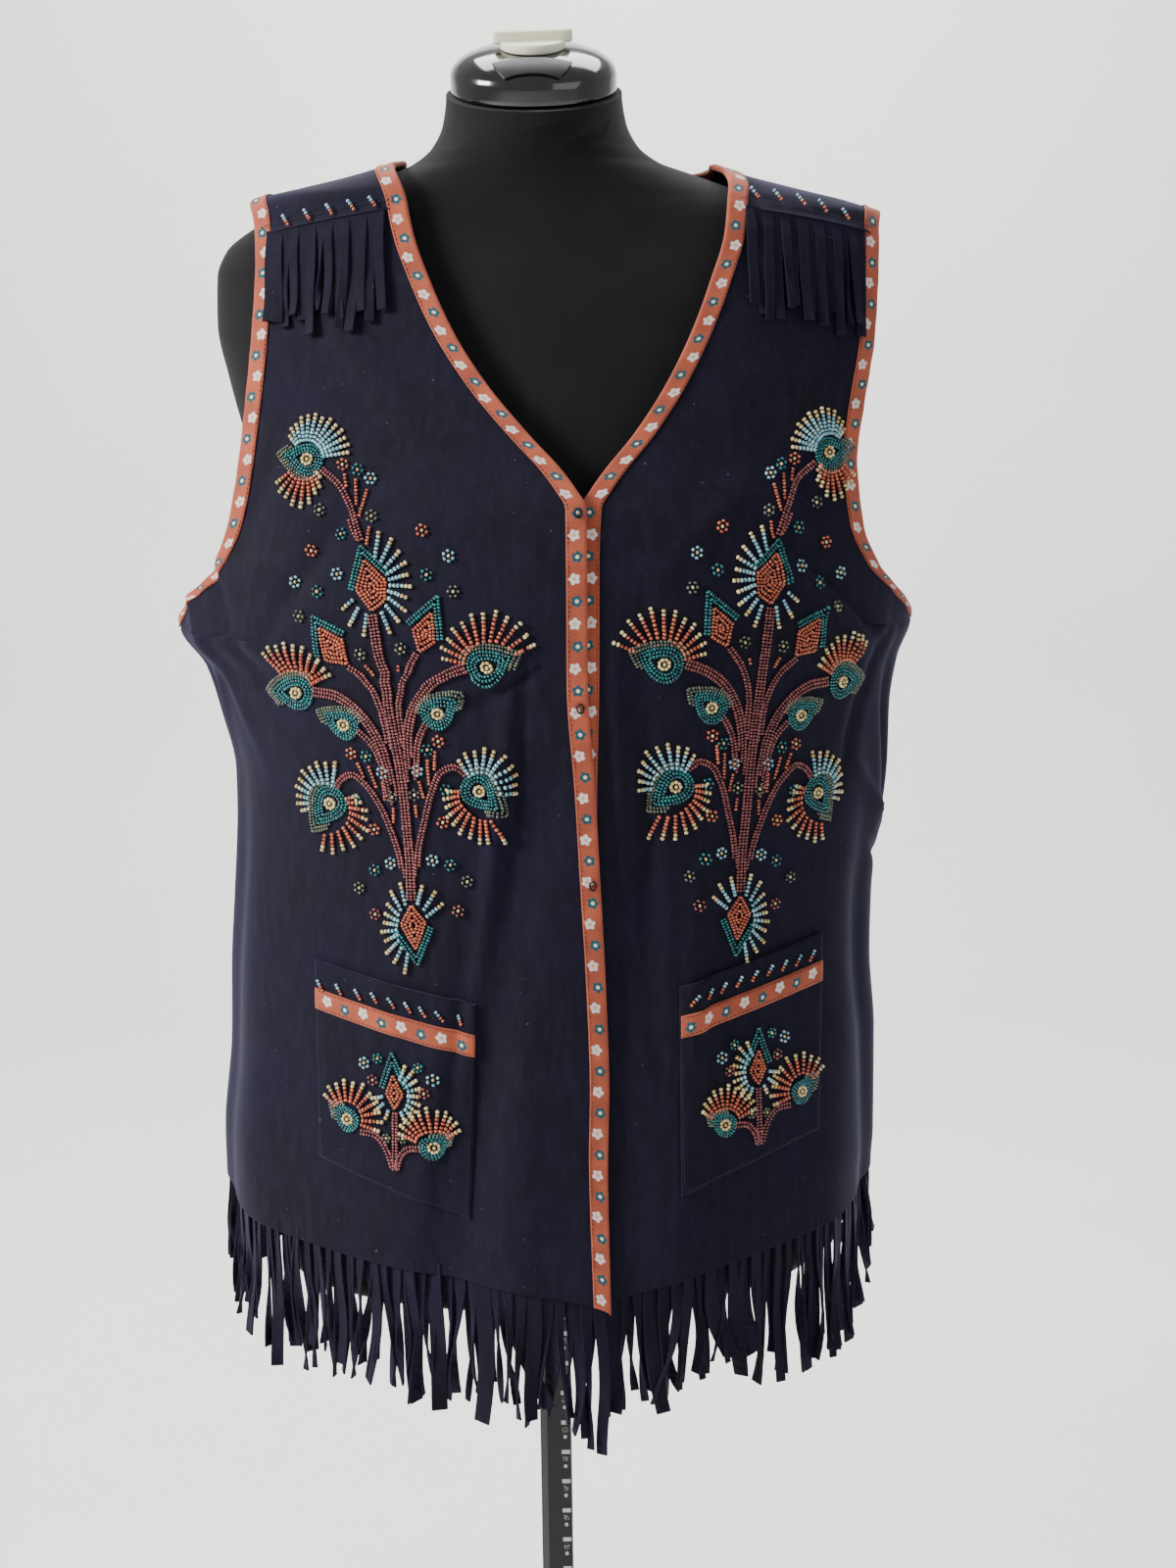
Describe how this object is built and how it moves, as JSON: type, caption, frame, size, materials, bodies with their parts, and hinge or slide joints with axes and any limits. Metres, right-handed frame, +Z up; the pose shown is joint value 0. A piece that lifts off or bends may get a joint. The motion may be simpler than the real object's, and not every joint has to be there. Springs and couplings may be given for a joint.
{
  "type": "beaded vest on a dress form",
  "caption": "Sleeveless open-front suede vest with floral beading, pockets and fringe, worn by a dress form on a pole and a four-legged base.",
  "frame": {"origin": "middle of the base's underside, on the floor below the form's axis", "axes": "+Z up along the pole, -Y towards the front of the vest, +X towards the wearer's left"},
  "size_m": [0.4924, 0.389, 1.4672],
  "materials": {
    "suede": "dark navy faux suede with a soft short nap",
    "binding": "printed cotton bias binding, coral with small flowers",
    "beads": "small glossy seed beads in several colours",
    "jersey": "fine charcoal knit jersey",
    "gloss": "glossy black plastic",
    "dial": "cream plastic",
    "plate": "satin black plastic",
    "pole": "black painted steel",
    "metal": "blackened wire"
  },
  "bodies": {
    "root": {"vest_front_right": "suede", "vest_front_left": "suede", "vest_back": "suede", "shoulder_yoke_right": "suede", "shoulder_yoke_left": "suede", "front_binding_right": "binding", "front_binding_left": "binding", "back_neck_binding": "binding", "armhole_binding_right": "binding", "armhole_binding_left": "binding", "pocket_right": "suede", "pocket_left": "suede", "pocket_band_right": "binding", "pocket_band_left": "binding", "hem_fringe_right": "suede", "hem_fringe_left": "suede", "hem_fringe_back": "suede", "shoulder_fringe_right": "suede", "shoulder_fringe_left": "suede", "hook_1": "metal", "hook_2": "metal", "hook_3": "metal", "form_torso": "jersey", "neck_cap": "gloss", "neck_dial": "dial", "cap_plate": "plate", "pole": "pole", "base_hub": "plate", "base_leg_1": "pole", "base_leg_2": "pole", "base_leg_3": "pole", "base_leg_4": "pole"}
  },
  "joints": []
}
